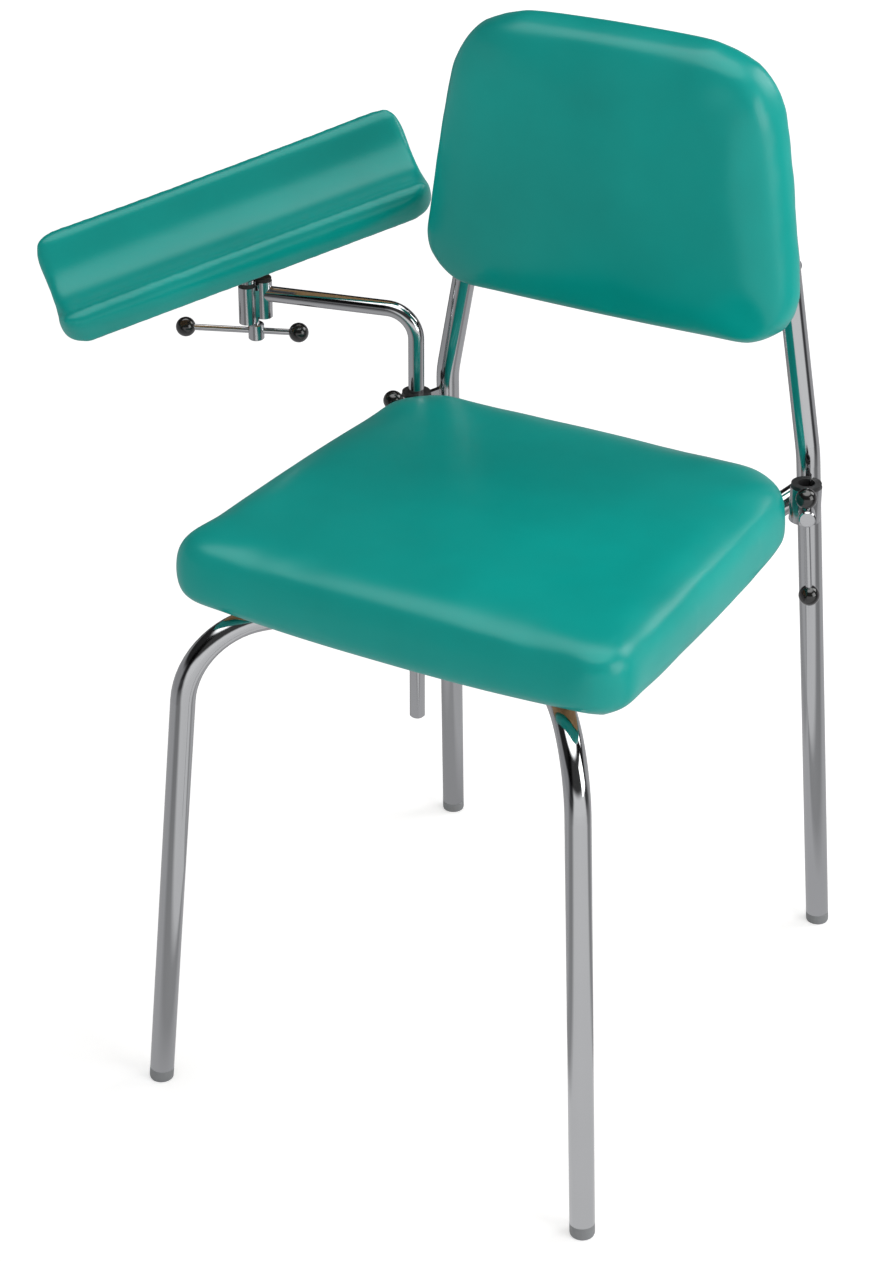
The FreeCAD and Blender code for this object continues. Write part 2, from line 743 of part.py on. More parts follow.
turn = math.radians(tray_turn_deg)
tilt = FreeCAD.Rotation(tilt_axis, tray_tilt_deg)
tray_along = tilt.multVec(vec(math.sin(turn), math.cos(turn), 0))
tray_across = tilt.multVec(vec(math.cos(turn), -math.sin(turn), 0))
tray_up = tilt.multVec(up)
tray_foot = (pivot + tray_along * tray_shift_along + tray_across * tray_shift_across
             + tray_up * tray_lift)
bracket_across = tray_up.cross(tilt_axis)
bracket_foot = pivot + tray_up * (tray_lift - bracket_thickness)
bracket = block(bracket_foot, tilt_axis, tray_up, bracket_length, bracket_width,
                bracket_thickness)
for side in (1, -1):
    inner = pivot + tilt_axis * (side * half_stack)
    eye = cylinder(inner, tilt_axis * side, ear_radius, ear_thickness)
    middle = pivot + tilt_axis * (side * (half_stack + ear_thickness / 2))
    neck = block(middle, tilt_axis, tray_up, ear_thickness, ear_radius * 2,
                 tray_lift - bracket_thickness / 2)
    bracket = bracket.fuse([eye, neck])
bracket = bracket.removeSplitter().cut(bolt_bore)
tray_screws = []
for along in (bracket_screw_along, -bracket_screw_along):
    for across in (bracket_screw_across, -bracket_screw_across):
        at = bracket_foot + tilt_axis * along + bracket_across * across
        head = cylinder(at - tray_up * tray_screw_head_height, tray_up, tray_screw_head_radius,
                        tray_screw_head_height)
        drive = cylinder(at - tray_up * tray_screw_head_height, tray_up, socket_recess_radius,
                         socket_recess_depth)
        shaft = cylinder(at, tray_up, tray_screw_radius, bracket_thickness + tray_screw_depth)
        tray_screws.append(head.cut(drive).fuse(shaft))
        bracket = bracket.cut(cylinder(at, tray_up, tray_screw_radius + screw_clearance,
                                       bracket_thickness))

ear_face = half_stack + ear_thickness
bolt_head = cylinder(pivot + tilt_axis * ear_face, tilt_axis, bolt_head_radius, bolt_head_height)
bolt_drive = cylinder(pivot + tilt_axis * (ear_face + bolt_head_height - socket_recess_depth),
                      tilt_axis, socket_recess_radius, socket_recess_depth)
bolt_end = pivot - tilt_axis * (ear_face + nut_height + tee_head_edge)
bolt = bolt_head.cut(bolt_drive).fuse(between(bolt_end, pivot + tilt_axis * ear_face,
                                              bolt_radius))
nut_face = pivot - tilt_axis * ear_face
nut_side = tilt_axis.cross(up)
corners = []
for step in range(nut_sides + 1):
    angle = 2 * math.pi * step / nut_sides
    corners.append(nut_face + up * (nut_radius * math.cos(angle))
                   + nut_side * (nut_radius * math.sin(angle)))
nut = Part.Face(Part.makePolygon(corners)).extrude(tilt_axis * -nut_height)
nut = nut.cut(cylinder(nut_face, tilt_axis * -1, bolt_radius, nut_height))

# Arm trough, built flat with its underside on z = 0 and its length along Y
half_length, half_width = tray_length / 2, tray_width / 2
tray_points = [vec(-half_width, -half_length, 0), vec(half_width, -half_length, 0),
               vec(half_width, half_length, 0), vec(-half_width, half_length, 0)]
trough = outline(tray_points, [tray_corner_radius] * 4, tray_height)
opening_half = half_width - tray_rim
opening_depth = tray_height - tray_floor
gutter_radius = (opening_half ** 2 + opening_depth ** 2) / (2 * opening_depth)
gutter = Part.makeCylinder(gutter_radius, tray_length * 2,
                           vec(0, -tray_length, tray_floor + gutter_radius), vec(0, 1, 0))
trough = trough.cut(gutter)
trough = trough.makeFillet(tray_bottom_edge_radius, edges_at(trough, -tee_head_edge,
                                                             tee_head_edge))
trough = trough.makeFillet(tray_rim_edge_radius, edges_at(
    trough, tray_floor - tee_head_edge, tray_height + tee_head_edge))
board_half_length, board_half_width = tray_board_length / 2, tray_board_width / 2
board_points = [vec(-board_half_width, -board_half_length, 0),
                vec(board_half_width, -board_half_length, 0),
                vec(board_half_width, board_half_length, 0),
                vec(-board_half_width, board_half_length, 0)]
tray_board = outline(board_points, [tray_board_corner_radius] * 4, tray_board_thickness)
trough = trough.cut(tray_board)
lay = FreeCAD.Placement(tray_foot, FreeCAD.Rotation(tray_across, tray_along, tray_up, "ZXY"))
trough = placed(trough, lay)
tray_board = placed(tray_board, lay)
for screw in tray_screws:
    tray_board = tray_board.cut(screw)

os.makedirs("parts", exist_ok=True)
save("front_tube_left", front_tube_left)
save("front_tube_right", front_tube_right)
save("half_rail", half_rail)
save("rear_tube_left", rear_tube)
save("rear_tube_right", mirrored(rear_tube))
save("foot_plugs", front_plug, mirrored(front_plug), rear_plug, mirrored(rear_plug))
save("top_plugs", top_plug, mirrored(top_plug))
save("centre_plate", centre_plate)
save("seat_lugs", *lugs)
save("seat_board", seat_board)
save("seat_cushion", seat_pad)
save("seat_screws", *seat_screws)
save("back_board", back_board)
save("back_cushion", back_pad)
save("back_spacers", *(spacers + [mirrored(s) for s in spacers]))
save("back_screws", *(back_screws + [mirrored(s) for s in back_screws]))
save("socket_left", socket)
save("socket_right", mirrored(socket))
save("socket_webs", web, mirrored(web))
save("liner_left", liner)
save("liner_right", mirrored(liner))
save("leg_screw_left", leg_screw)
save("leg_screw_right", mirrored(leg_screw))
save("leg_bar_left", leg_bar)
save("leg_bar_right", mirrored(leg_bar))
save("leg_knobs_left", *leg_knobs)
save("leg_knobs_right", *[mirrored(k) for k in leg_knobs])
save("arm_post", arm_post)
save("clamp_block", clamp_block)
save("clamp_cap", post_cap)
save("stem_washer", stem_washer)
save("lock_pad", lock_pad)
save("clamp_screw", clamp_screw)
save("clamp_bar", clamp_bar)
save("clamp_knobs", *clamp_knobs)
save("tray_stem", tray_stem)
save("knuckle_washers", washer_a, washer_b)
save("knuckle_bolt", bolt)
save("knuckle_nut", nut)
save("tray_bracket", bracket)
save("tray_screws", *tray_screws)
save("tray_board", tray_board)
save("tray_cushion", trough)
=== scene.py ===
"""Looks of a chair for taking blood: chrome tube, teal vinyl pads and an arm trough."""

import math

import bmesh
import bpy
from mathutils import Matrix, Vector


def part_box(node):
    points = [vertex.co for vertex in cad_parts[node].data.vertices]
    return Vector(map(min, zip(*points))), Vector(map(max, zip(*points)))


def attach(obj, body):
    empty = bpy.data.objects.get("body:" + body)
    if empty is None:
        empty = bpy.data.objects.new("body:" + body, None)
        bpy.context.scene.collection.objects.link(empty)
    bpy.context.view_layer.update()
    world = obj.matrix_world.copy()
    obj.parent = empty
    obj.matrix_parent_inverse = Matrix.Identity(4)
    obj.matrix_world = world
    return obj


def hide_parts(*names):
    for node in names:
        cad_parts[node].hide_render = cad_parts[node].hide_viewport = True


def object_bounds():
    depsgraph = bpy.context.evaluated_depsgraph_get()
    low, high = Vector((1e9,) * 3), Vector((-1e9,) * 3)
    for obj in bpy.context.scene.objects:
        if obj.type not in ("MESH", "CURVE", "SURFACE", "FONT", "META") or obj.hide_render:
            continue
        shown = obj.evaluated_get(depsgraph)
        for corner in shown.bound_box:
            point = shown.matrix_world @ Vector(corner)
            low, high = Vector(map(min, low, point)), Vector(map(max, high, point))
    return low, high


bl_info = {
    "name": "Phlebotomy Chair",
    "version": (1, 0, 0),
    "blender": (4, 5, 0),
    "location": "3D View > Sidebar > Chair",
    "description": "Pads, finishes and studio for a tube-frame chair with an arm trough",
    "category": "Object",
}

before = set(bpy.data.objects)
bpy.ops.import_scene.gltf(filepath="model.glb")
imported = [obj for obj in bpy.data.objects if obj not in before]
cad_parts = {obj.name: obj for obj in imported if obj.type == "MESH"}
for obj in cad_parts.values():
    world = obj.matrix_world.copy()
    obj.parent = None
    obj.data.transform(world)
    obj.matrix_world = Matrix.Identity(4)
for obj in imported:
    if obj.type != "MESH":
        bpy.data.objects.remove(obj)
cad_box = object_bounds()

MM = 0.001
# Reach round a board in which its cover is held and doesn't swell
HELD_REACH = 3 * MM
# Rounds of smoothing, for the whole cover and then for the part that swells
WHOLE_ROUNDS = 8
SWOLLEN_ROUNDS = 6

# Nodes of the frame by finish
TUBES = ["front_tube_left", "front_tube_right", "half_rail", "rear_tube_left",
         "rear_tube_right", "arm_post"]
FITTINGS = ["socket_left", "socket_right", "socket_webs", "clamp_block", "tray_stem",
            "centre_plate", "seat_lugs"]
TURNED = ["leg_screw_left", "leg_screw_right", "clamp_screw", "leg_bar_left", "leg_bar_right",
          "clamp_bar"]
ZINC = ["seat_screws", "back_screws", "knuckle_bolt", "knuckle_nut", "tray_screws",
        "tray_bracket"]
PLUGS = ["foot_plugs", "top_plugs", "back_spacers"]
LINERS = ["liner_left", "liner_right"]
BALLS = ["leg_knobs_left", "leg_knobs_right", "clamp_knobs"]
WASHERS = ["clamp_cap", "stem_washer"]


class ChairFinish(bpy.types.PropertyGroup):
    """Colours and gloss of the chair."""
    vinyl_hex: bpy.props.StringProperty(
        name="Vinyl", description="sRGB colour of the coated cover cloth", default="00A59B")
    vinyl_roughness: bpy.props.FloatProperty(
        name="Vinyl roughness", description="Gloss of the cover, 0 is a mirror", default=0.30,
        min=0.0, max=1.0, subtype="FACTOR")
    chrome_hex: bpy.props.StringProperty(
        name="Chrome", description="sRGB colour of the plated tube", default="C9CACC")
    chrome_roughness: bpy.props.FloatProperty(
        name="Chrome roughness", description="Haze of the plating", default=0.09,
        min=0.0, max=1.0, subtype="FACTOR")
    ball_hex: bpy.props.StringProperty(
        name="Handle balls", description="sRGB colour of the phenolic balls", default="1B1A1A")
    plug_hex: bpy.props.StringProperty(
        name="Plugs", description="sRGB colour of the tube plugs", default="8A8C8E")


class ChairPads(bpy.types.PropertyGroup):
    """How the pads are stuffed."""
    seat_voxel: bpy.props.FloatProperty(
        name="Pad mesh", description="Size of the mesh of seat and back before it is smoothed",
        default=5.0 * MM, unit="LENGTH")
    arm_voxel: bpy.props.FloatProperty(
        name="Trough mesh", description="Size of the mesh of the trough before it is smoothed",
        default=3.0 * MM, unit="LENGTH")
    start_inset: bpy.props.FloatProperty(
        name="Start inset", description="How much smaller a pad starts, to leave room to swell",
        default=1.0 * MM, unit="LENGTH")
    swell_cap: bpy.props.FloatProperty(
        name="Swell", description="The furthest that the stuffing moves the cover",
        default=4.0 * MM, unit="LENGTH")
    arm_swell_cap: bpy.props.FloatProperty(
        name="Trough swell", description="The same for the thin foam of the trough",
        default=2.2 * MM, unit="LENGTH")
    pressure: bpy.props.FloatProperty(
        name="Pressure", description="Push of the foam under the cover", default=4.0)
    frames: bpy.props.IntProperty(
        name="Steps", description="Steps of the simulation", default=20, min=2)


class ChairStudio(bpy.types.PropertyGroup):
    """Camera, lamps, floor and the light from all round."""
    camera_place: bpy.props.FloatVectorProperty(
        name="Camera", description="Where the camera stands", size=3, subtype="TRANSLATION",
        unit="LENGTH", default=(0.9786, -1.8139, 1.5176))
    camera_turn: bpy.props.FloatProperty(
        name="Turn", description="Turn of the camera about the vertical", unit="ROTATION",
        default=math.radians(29.7))
    camera_rise: bpy.props.FloatProperty(
        name="Rise", description="Angle of the camera from straight down", unit="ROTATION",
        default=math.radians(64.7))
    lens: bpy.props.FloatProperty(
        name="Lens", description="Focal length for a 36 mm wide sensor", default=83.08,
        subtype="DISTANCE_CAMERA")
    shift_y: bpy.props.FloatProperty(
        name="Shift", description="Vertical shift of the lens", default=-0.15)
    ambient: bpy.props.FloatProperty(
        name="Ambient", description="Strength of the soft light from all round", default=0.60)
    softbox: bpy.props.FloatProperty(
        name="Softbox", description="Brightness of the large softbox overhead, as gloss shows it",
        default=3.0)
    key_place: bpy.props.FloatVectorProperty(
        name="Key lamp place", description="Where the large lamp on the right stands", size=3,
        subtype="TRANSLATION", unit="LENGTH", default=(2.3, -0.1, 1.3))
    key_size: bpy.props.FloatProperty(
        name="Key lamp size", description="Width of the large lamp on the right",
        unit="LENGTH", default=1.4)
    key_power: bpy.props.FloatProperty(
        name="Key lamp", description="Power of the large lamp on the right", unit="POWER",
        default=19.0)
    back_place: bpy.props.FloatVectorProperty(
        name="Back lamp place", description="Where the lamp behind the chair stands", size=3,
        subtype="TRANSLATION", unit="LENGTH", default=(1.3, 1.6, 1.9))
    back_size: bpy.props.FloatProperty(
        name="Back lamp size", description="Width of the lamp behind the chair",
        unit="LENGTH", default=1.1)
    back_power: bpy.props.FloatProperty(
        name="Back lamp", description="Power of the lamp behind and to the right", unit="POWER",
        default=14.5)
    floor_reach: bpy.props.FloatProperty(
        name="Floor reach", description="From the chair to each edge of the floor",
        unit="LENGTH", default=14.0)
    floor_hex: bpy.props.StringProperty(
        name="Floor", description="sRGB colour of the studio floor", default="F4F4F4")


def chair(group):
    """One of the chair's groups of values."""
    return getattr(bpy.context.scene, group)


def linear(hex_colour):
    """An sRGB hex colour as the linear colour that a shader takes."""
    out = []
    for i in (0, 2, 4):
        c = int(hex_colour[i:i + 2], 16) / 255
        out.append(c / 12.92 if c <= 0.04045 else ((c + 0.055) / 1.055) ** 2.4)
    return (*out, 1.0)


def shaded(colour, factor):
    """A linear colour made darker or lighter, and never more than white."""
    return (*(min(1, c * factor) for c in colour[:3]), 1)


def add(tree, kind, values=None, links=None, **settings):
    """Adds one node with its settings, socket values and incoming links."""
    node = tree.nodes.new(kind)
    for name, value in settings.items():
        setattr(node, name, value)
    for socket, value in (values or {}).items():
        node.inputs[socket].default_value = value
    for socket, source in (links or {}).items():
        tree.links.new(source, node.inputs[socket])
    return node


def blank(name):
    """A new material with its shader and output, and the object's own coordinates."""
    material = bpy.data.materials.new(name)
    material.use_nodes = True
    tree = material.node_tree
    tree.nodes.clear()
    shader = add(tree, "ShaderNodeBsdfPrincipled")
    add(tree, "ShaderNodeOutputMaterial", links={"Surface": shader.outputs[0]})
    place = add(tree, "ShaderNodeTexCoord").outputs["Object"]
    return material, tree, shader, place


def per_mm(size_mm):
    """Texture scale at which one feature takes that many millimetres."""
    return 1.0 / (size_mm * MM)


def coated_vinyl():
    """PVC-coated upholstery cloth: even teal, soft gloss, a faint calendered grain."""
    look = chair("chair_finish")
    material, tree, shader, place = blank("coated_vinyl")
    teal = linear(look.vinyl_hex)
    # Cloudy change of shade over a hand's width
    clouds = add(tree, "ShaderNodeTexNoise", {"Scale": per_mm(90), "Detail": 3.0},
                 {"Vector": place})
    shade = add(tree, "ShaderNodeValToRGB", links={"Fac": clouds.outputs["Fac"]})
    shade.color_ramp.elements[0].position = 0.3
    shade.color_ramp.elements[0].color = shaded(teal, 0.92)
    shade.color_ramp.elements[1].position = 0.7
    shade.color_ramp.elements[1].color = shaded(teal, 1.06)
    # The real grain is about 0.8 mm, drawn at 1.3 mm so that a render can hold it
    grain = add(tree, "ShaderNodeTexVoronoi", {"Scale": per_mm(1.3)}, {"Vector": place},
                feature="SMOOTH_F1")
    creases = add(tree, "ShaderNodeTexNoise", {"Scale": per_mm(34), "Detail": 2.0},
                  {"Vector": place})
    gloss = add(tree, "ShaderNodeMapRange",
                {"To Min": look.vinyl_roughness - 0.04, "To Max": look.vinyl_roughness + 0.05},
                {"Value": creases.outputs["Fac"]})
    fine = add(tree, "ShaderNodeBump", {"Strength": 0.10, "Distance": 0.10 * MM},
               {"Height": grain.outputs["Distance"]})
    soft = add(tree, "ShaderNodeBump", {"Strength": 0.12, "Distance": 1.0 * MM},
               {"Height": creases.outputs["Fac"], "Normal": fine.outputs["Normal"]})
    shader.inputs["Specular IOR Level"].default_value = 0.38
    tree.links.new(shade.outputs["Color"], shader.inputs["Base Color"])
    tree.links.new(gloss.outputs["Result"], shader.inputs["Roughness"])
    tree.links.new(soft.outputs["Normal"], shader.inputs["Normal"])
    return material


def metal(name, hex_colour, roughness, patch_mm, grain_mm, grain_depth):
    """A metal with hazy patches and a fine worked surface."""
    material, tree, shader, place = blank(name)
    tone = linear(hex_colour)
    haze = add(tree, "ShaderNodeTexNoise", {"Scale": per_mm(patch_mm), "Detail": 4.0},
               {"Vector": place})
    colour = add(tree, "ShaderNodeMixRGB",
                 {"Color1": shaded(tone, 0.93), "Color2": tone}, {"Fac": haze.outputs["Fac"]})
    gloss = add(tree, "ShaderNodeMapRange",
                {"From Min": 0.3, "From Max": 0.7, "To Min": roughness * 0.7,
                 "To Max": roughness * 1.35}, {"Value": haze.outputs["Fac"]})
    worked = add(tree, "ShaderNodeTexNoise", {"Scale": per_mm(grain_mm), "Detail": 2.0},
                 {"Vector": place})
    bump = add(tree, "ShaderNodeBump", {"Strength": 0.15, "Distance": grain_depth * MM},
               {"Height": worked.outputs["Fac"]})
    shader.inputs["Metallic"].default_value = 1.0
    tree.links.new(colour.outputs["Color"], shader.inputs["Base Color"])
    tree.links.new(gloss.outputs["Result"], shader.inputs["Roughness"])
    tree.links.new(bump.outputs["Normal"], shader.inputs["Normal"])
    return material


def moulded(name, hex_colour, roughness, grain_mm, grain_depth, coat=0.0):
    """A moulded plastic: one colour with slight flow marks and a fine spark-eroded skin."""
    material, tree, shader, place = blank(name)
    tone = linear(hex_colour)
    flow = add(tree, "ShaderNodeTexNoise", {"Scale": per_mm(9), "Detail": 3.0,
                                            "Distortion": 0.6}, {"Vector": place})
    colour = add(tree, "ShaderNodeMixRGB",
                 {"Color1": shaded(tone, 0.85), "Color2": shaded(tone, 1.12)},
                 {"Fac": flow.outputs["Fac"]})
    gloss = add(tree, "ShaderNodeMapRange",
                {"To Min": max(0.03, roughness - 0.06), "To Max": roughness + 0.06},
                {"Value": flow.outputs["Fac"]})
    skin = add(tree, "ShaderNodeTexNoise", {"Scale": per_mm(grain_mm), "Detail": 1.0},
               {"Vector": place})
    bump = add(tree, "ShaderNodeBump", {"Strength": 0.2, "Distance": grain_depth * MM},
               {"Height": skin.outputs["Fac"]})
    shader.inputs["Coat Weight"].default_value = coat
    shader.inputs["Coat Roughness"].default_value = 0.08
    tree.links.new(colour.outputs["Color"], shader.inputs["Base Color"])
    tree.links.new(gloss.outputs["Result"], shader.inputs["Roughness"])
    tree.links.new(bump.outputs["Normal"], shader.inputs["Normal"])
    return material


def board_axes(name):
    """A board's length, width and thickness as directions, from its large faces."""
    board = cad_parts[name].data
    areas = {}
    for face in board.polygons:
        key = tuple(round(c, 2) for c in face.normal)
        areas[key] = areas.get(key, 0) + face.area
    up = Vector(max(areas, key=areas.get)).normalized()
    if up.z < 0:
        up = -up
    places = [v.co for v in board.vertices]
    middle = sum(places, Vector()) / len(places)
    far = max(places, key=lambda p: (p - middle).length) - middle
    level = [d for d in (Vector(k) for k in sorted(areas, key=areas.get, reverse=True)[:6])
             if abs(d.normalized().dot(up)) < 0.1]
    across = min(level, key=lambda d: abs(d.normalized().dot(far))).normalized()
    along = up.cross(across).normalized()
    return along, across, up


def birch_plywood(name, board):
    """Sanded birch plywood: plies of 1.4 mm on the edge and long pores on the face."""
    along, _, normal = board_axes(board)
    face = max(v.co.dot(normal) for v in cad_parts[board].data.vertices)
    material, tree, shader, place = blank(name)
    # A light and a dark ply repeat together, counted from the board's face
    pair = per_mm(2.8)
    depth = add(tree, "ShaderNodeVectorMath", {1: normal}, {0: place}, operation="DOT_PRODUCT")
    plies = add(tree, "ShaderNodeMath", {1: pair, 2: 0.25 - face * pair},
                {0: depth.outputs["Value"]}, operation="MULTIPLY_ADD")
    saw = add(tree, "ShaderNodeMath", links={0: plies.outputs[0]}, operation="FRACT")
    edge = add(tree, "ShaderNodeMath", {1: 0.5}, {0: saw.outputs[0]}, operation="GREATER_THAN")
    # The grain is drawn out along the board, by taking away most of the length
    run = add(tree, "ShaderNodeVectorMath", {1: along}, {0: place}, operation="DOT_PRODUCT")
    shrink = add(tree, "ShaderNodeMath", {1: 0.94}, {0: run.outputs["Value"]},
                 operation="MULTIPLY")
    squeeze = add(tree, "ShaderNodeVectorMath", {0: along}, {"Scale": shrink.outputs[0]},
                  operation="SCALE")
    stretched = add(tree, "ShaderNodeVectorMath", links={0: place, 1: squeeze.outputs[0]},
                    operation="SUBTRACT")
    pores = add(tree, "ShaderNodeTexNoise", {"Scale": per_mm(3.2), "Detail": 5.0,
                                             "Distortion": 0.4}, {"Vector": stretched.outputs[0]})
    figure = add(tree, "ShaderNodeTexNoise", {"Scale": per_mm(26), "Detail": 2.0},
                 {"Vector": stretched.outputs[0]})
    wood = add(tree, "ShaderNodeValToRGB", links={"Fac": pores.outputs["Fac"]})
    wood.color_ramp.elements[0].position = 0.35
    wood.color_ramp.elements[0].color = linear("A98256")
    wood.color_ramp.elements[1].position = 0.62
    wood.color_ramp.elements[1].color = linear("D2B07F")
    toned = add(tree, "ShaderNodeMixRGB", {"Color2": linear("BE9662")},
                {"Fac": figure.outputs["Fac"], "Color1": wood.outputs["Color"]})
    dark = add(tree, "ShaderNodeMath", {1: 0.22}, {0: edge.outputs[0]}, operation="MULTIPLY")
    cut = add(tree, "ShaderNodeMixRGB", {"Color2": linear("8A6238")},
              {"Fac": dark.outputs[0], "Color1": toned.outputs["Color"]})
    bump = add(tree, "ShaderNodeBump", {"Strength": 0.25, "Distance": 0.15 * MM},
               {"Height": pores.outputs["Fac"]})
    shader.inputs["Roughness"].default_value = 0.62
    tree.links.new(cut.outputs["Color"], shader.inputs["Base Color"])
    tree.links.new(bump.outputs["Normal"], shader.inputs["Normal"])
    return material


def finish_nodes(names, material):
    """Gives nodes of the frame their finish."""
    for name in names:
        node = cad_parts[name]
        for slot in node.material_slots:
            slot.material = material


def shared(name, make):
    """The material of that name, made once."""
    found = bpy.data.materials.get(name)
    return found if found else make()


def new_object(name, mesh):
    """A new object in the scene, with that mesh."""
    piece = bpy.data.objects.new(name, mesh)
    bpy.context.scene.collection.objects.link(piece)
    return piece


def baked(piece):
    """Puts what the modifiers make into the mesh and clears them."""
    graph = bpy.context.evaluated_depsgraph_get()
    mesh = bpy.data.meshes.new_from_object(piece.evaluated_get(graph))
    piece.modifiers.clear()
    piece.data = mesh


def even_copy(source, name, voxel):
    """A copy of a CAD pad with an even mesh."""
    piece = new_object(name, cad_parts[source].data.copy())
    piece.data.materials.clear()
    mesher = piece.modifiers.new("mesh", "REMESH")
    mesher.mode = "VOXEL"
    mesher.voxel_size = voxel
    baked(piece)
    return piece


def swell(piece, pinned, cap):
    """Lets the foam press the cover out, by no more than the cap."""
    pads = chair("chair_pads")
    start = [v.co.copy() for v in piece.data.vertices]
    group = piece.vertex_groups.new(name="held")
    group.add(pinned, 1.0, "REPLACE")
    cover = piece.modifiers.new("cover", "CLOTH")
    cover.settings.use_pressure = True
    cover.settings.uniform_pressure_force = pads.pressure
    cover.settings.effector_weights.gravity = 0.0
    cover.settings.vertex_group_mass = group.name
    cover.collision_settings.use_collision = False
    cover.point_cache.frame_start = 1
    cover.point_cache.frame_end = pads.frames
    for step in range(1, pads.frames + 1):
        bpy.context.scene.frame_set(step)
    graph = bpy.context.evaluated_depsgraph_get()
    swollen = [v.co.copy() for v in piece.evaluated_get(graph).data.vertices]
    piece.modifiers.clear()
    bpy.context.scene.frame_set(1)
    for i, v in enumerate(piece.data.vertices):
        move = swollen[i] - start[i]
        if move.length > cap:
            move = move * (cap / move.length)
        v.co = start[i] + move
    piece.vertex_groups.clear()


def stuff(source, name, voxel, inset, cap, held):
    """A soft copy of a CAD pad, blown up a little by its foam and held where the board is."""
    piece = even_copy(source, name, voxel)
    mesh = piece.data
    pinned = [i for i, v in enumerate(mesh.vertices) if held(v.co)]
    loose = set(range(len(mesh.vertices))) - set(pinned)
    normals = [v.normal.copy() for v in mesh.vertices]
    for i in loose:
        mesh.vertices[i].co -= normals[i] * inset
    swell(piece, pinned, cap)
    evened(mesh, range(len(mesh.vertices)), WHOLE_ROUNDS)
    evened(mesh, loose, SWOLLEN_ROUNDS)
    rounder = piece.modifiers.new("round", "SUBSURF")
    rounder.levels = 1
    rounder.render_levels = 1
    baked(piece)
    piece.data.name = name
    piece.data.shade_smooth()
    piece.data.materials.clear()
    piece.data.materials.append(shared("coated_vinyl", coated_vinyl))
    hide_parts(source)
    return piece


def evened(mesh, chosen, rounds):
    """Takes the steps of the voxels out of the chosen part of a cover."""
    share = 0.5
    build = bmesh.new()
    build.from_mesh(mesh)
    build.verts.ensure_lookup_table()
    verts = [build.verts[i] for i in sorted(chosen)]
    for _ in range(rounds):
        bmesh.ops.smooth_vert(build, verts=verts, factor=share, use_axis_x=True,
                              use_axis_y=True, use_axis_z=True)
    build.to_mesh(mesh)
    build.free()


class CHAIR_OT_chrome(bpy.types.Operator):
    """Plates the tubes, fittings and turned pieces"""
    bl_idname = "chair.chrome"
    bl_label = "Chrome"

    def execute(self, context):
        look = context.scene.chair_finish
        # Bright chrome plate on drawn tube: near mirror, faint haze along it
        finish_nodes(TUBES, metal("bright_chrome_tube", look.chrome_hex,
                                  look.chrome_roughness, 60, 2.0, 0.01))
        # Chrome on machined fittings: the same plate over a coarser ground
        finish_nodes(FITTINGS, metal("chrome_on_fittings", look.chrome_hex,
                                     look.chrome_roughness + 0.05, 12, 0.8, 0.02))
        # Chrome on turned screws and bars
        finish_nodes(TURNED, metal("chrome_on_turned_steel", look.chrome_hex,
                                   look.chrome_roughness + 0.03, 8, 0.6, 0.02))
        return {"FINISHED"}


class CHAIR_OT_small_metal(bpy.types.Operator):
    """Finishes the zinc-plated fixings and the brass pad"""
    bl_idname = "chair.small_metal"
    bl_label = "Zinc and brass"

    def execute(self, context):
        # Bright zinc plate: greyer and softer than chrome, with a slight crystal bloom
        finish_nodes(ZINC, metal("bright_zinc_plate", "B2B6BA", 0.30, 4, 0.5, 0.03))
        # Turned brass: yellow, satin from the tool
        finish_nodes(["lock_pad"], metal("turned_brass", "C9A45A", 0.28, 3, 0.4, 0.02))
        return {"FINISHED"}


class CHAIR_OT_plastics(bpy.types.Operator):
    """Finishes plugs, liners, washers and handle balls"""
    bl_idname = "chair.plastics"
    bl_label = "Plastics"

    def execute(self, context):
        look = context.scene.chair_finish
        # Moulded polyethylene: waxy grey
        finish_nodes(PLUGS, moulded("grey_polyethylene", look.plug_hex, 0.5, 0.5, 0.05))
        # Turned black nylon: soft sheen; its black also stands in for painted shade, a dark line
        # between post and socket
        finish_nodes(LINERS, moulded("black_nylon", "2A2A2B", 0.45, 0.4, 0.04))
        # Turned nylon washer: milky white
        finish_nodes(["knuckle_washers"], moulded("white_nylon", "DEDBD0", 0.42, 0.4, 0.04))
        # Phenolic ball: deep black under a hard gloss
        finish_nodes(BALLS, moulded("black_phenolic", look.ball_hex, 0.16, 0.6, 0.02, 0.6))
        # Vulcanised fibre washer: matt black
        finish_nodes(WASHERS, moulded("black_fibre", "242322", 0.6, 0.3, 0.06))
        return {"FINISHED"}


class CHAIR_OT_boards(bpy.types.Operator):
    """Finishes the three plywood boards"""
    bl_idname = "chair.boards"
    bl_label = "Boards"

    def execute(self, context):
        for board in ("seat_board", "back_board", "tray_board"):
            finish_nodes([board], birch_plywood("birch_plywood_" + board, board))
        return {"FINISHED"}


class CHAIR_OT_seat_pad(bpy.types.Operator):
    """Makes the seat cushion"""
    bl_idname = "chair.seat_pad"
    bl_label = "Seat pad"

    def execute(self, context):
        pads = context.scene.chair_pads
        low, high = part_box("seat_board")
        rim = high.z + HELD_REACH
        piece = stuff("seat_cushion", "seat_pad", pads.seat_voxel, pads.start_inset,
                      pads.swell_cap, lambda p: p.z < rim and abs(p.x) < high.x + HELD_REACH
                      and low.y - HELD_REACH < p.y < high.y + HELD_REACH)
        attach(piece, "frame")
        return {"FINISHED"}


